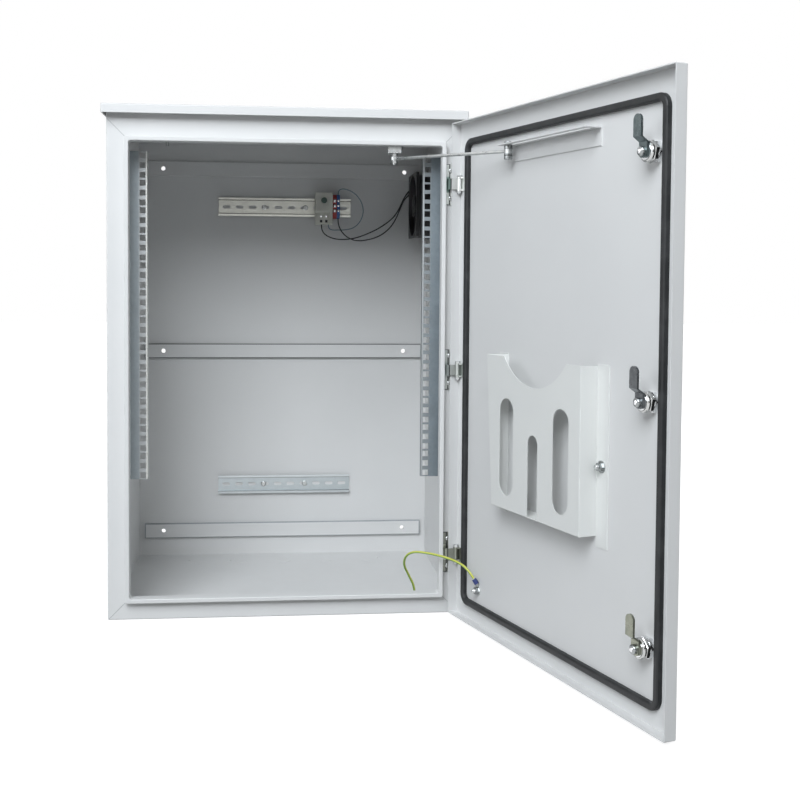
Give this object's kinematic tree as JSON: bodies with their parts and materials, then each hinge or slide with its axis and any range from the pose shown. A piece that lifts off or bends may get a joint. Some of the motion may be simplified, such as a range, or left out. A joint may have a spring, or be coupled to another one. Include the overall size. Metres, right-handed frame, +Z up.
{
  "type": "roadside utility cabinet",
  "caption": "Sheet steel outdoor cabinet with a raised lip round the opening, rack rails, a hinged door with cam locks, a gasket, a document pocket and a sliding stay.",
  "frame": {"origin": "middle of the base's underside", "axes": "+X to the right as seen from the front, +Y from the door side to the wall side, +Z up"},
  "size_m": [0.7331, 0.9525, 0.811],
  "materials": {
    "light_grey_paint": "powder coat",
    "rail_paint": "powder coat",
    "zinc_plate": "zinc plated",
    "chrome_plate": "polished",
    "gasket_rubber": "foamed",
    "fan_plastic": "moulded",
    "controller_plastic": "moulded",
    "dial_plastic": "moulded",
    "red_plastic": "moulded",
    "blue_plastic": "moulded",
    "earth_insulation": "extruded",
    "black_insulation": "extruded",
    "grey_insulation": "extruded"
  },
  "bodies": {
    "cabinet": {"body_shell": "light_grey_paint", "roof_cover": "light_grey_paint", "back_strip_bottom": "light_grey_paint", "back_strip_middle": "light_grey_paint", "back_strip_top": "light_grey_paint", "roof_bolts": "zinc_plate", "roof_spacers": "zinc_plate", "rail_nuts": "zinc_plate", "mounting_rail_upper": "zinc_plate", "mounting_rail_lower": "zinc_plate", "rail_screws": "zinc_plate", "fan_screws": "zinc_plate", "hinge_leaf_bottom": "zinc_plate", "hinge_leaf_middle": "zinc_plate", "hinge_leaf_top": "zinc_plate", "hinge_screws": "zinc_plate", "stay_bracket": "zinc_plate", "stay_bolt": "zinc_plate", "stay_nuts": "zinc_plate", "floor_earth_nut": "zinc_plate", "floor_earth_ring": "zinc_plate", "rack_rail_left": "rail_paint", "rack_rail_right": "rail_paint", "fan_frame": "fan_plastic", "temperature_controller": "controller_plastic", "terminal_red": "red_plastic", "terminal_blue": "blue_plastic", "earth_lead": "earth_insulation", "fan_lead_a": "black_insulation", "fan_lead_b": "black_insulation", "jumper_lead": "grey_insulation"},
    "door": {"door_panel": "light_grey_paint", "door_gasket": "gasket_rubber", "document_pocket": "light_grey_paint", "door_nuts": "zinc_plate", "stay_guide": "light_grey_paint", "hinge_pins": "zinc_plate", "hinge_pin_nuts": "zinc_plate", "lock_nuts": "chrome_plate", "door_earth_ring": "zinc_plate", "hinge_bracket_bottom": "zinc_plate", "hinge_bracket_middle": "zinc_plate", "hinge_bracket_top": "zinc_plate", "lock_body_bottom": "chrome_plate", "lock_body_middle": "chrome_plate", "lock_body_top": "chrome_plate"},
    "lock_bottom": {"lock_plug_bottom": "chrome_plate", "lock_cam_bottom": "zinc_plate", "lock_screw_bottom": "zinc_plate"},
    "lock_middle": {"lock_plug_middle": "chrome_plate", "lock_cam_middle": "zinc_plate", "lock_screw_middle": "zinc_plate"},
    "lock_top": {"lock_plug_top": "chrome_plate", "lock_cam_top": "zinc_plate", "lock_screw_top": "zinc_plate"},
    "stay_rod": {"stay_rod": "zinc_plate", "stay_end_nut": "zinc_plate"},
    "stay_slider": {"stay_slider": "zinc_plate"},
    "fan_rotor": {"fan_rotor": "fan_plastic"},
    "controller_dial": {"controller_dial": "dial_plastic"}
  },
  "joints": [
    {"name": "door_hinge", "type": "hinge", "parent": "cabinet", "child": "door", "pos_m": [0.272, -0.22, 0.396], "axis": [0, 0, 1], "range_deg": [-108, 0], "deforming": ["earth_lead"]},
    {"name": "lock_turn_bottom", "type": "hinge", "parent": "door", "child": "lock_bottom", "pos_m": [0.4316, -0.69177, 0.1], "axis": [0.9511, 0.309, 0], "range_deg": [0, 90]},
    {"name": "lock_turn_middle", "type": "hinge", "parent": "door", "child": "lock_middle", "pos_m": [0.4316, -0.69177, 0.396], "axis": [0.9511, 0.309, 0], "range_deg": [0, 90]},
    {"name": "lock_turn_top", "type": "hinge", "parent": "door", "child": "lock_top", "pos_m": [0.4316, -0.69177, 0.692], "axis": [0.9511, 0.309, 0], "range_deg": [0, 90]},
    {"name": "stay_swing", "type": "hinge", "parent": "cabinet", "child": "stay_rod", "pos_m": [0.17, -0.196, 0.733], "axis": [0, 0, 1], "range_deg": [-125.09, 0.5]},
    {"name": "stay_slide", "type": "slide", "parent": "door", "child": "stay_slider", "axis": [0.309, -0.9511, 0], "range_m": [-0.0005, 0.1706]},
    {"name": "fan_spin", "type": "hinge", "parent": "cabinet", "child": "fan_rotor", "pos_m": [0.2595, 0.133, 0.68], "axis": [1, 0, 0], "continuous": true},
    {"name": "dial_turn", "type": "hinge", "parent": "cabinet", "child": "controller_dial", "pos_m": [0.074, 0.155, 0.69], "axis": [0, -1, 0], "range_deg": [-150, 150]}
  ],
  "couplings": [
    {"joint": "stay_swing", "follows": "door_hinge", "ratio": 1.149},
    {"joint": "stay_slide", "follows": "door_hinge", "m_per_rad": -0.089964}
  ]
}
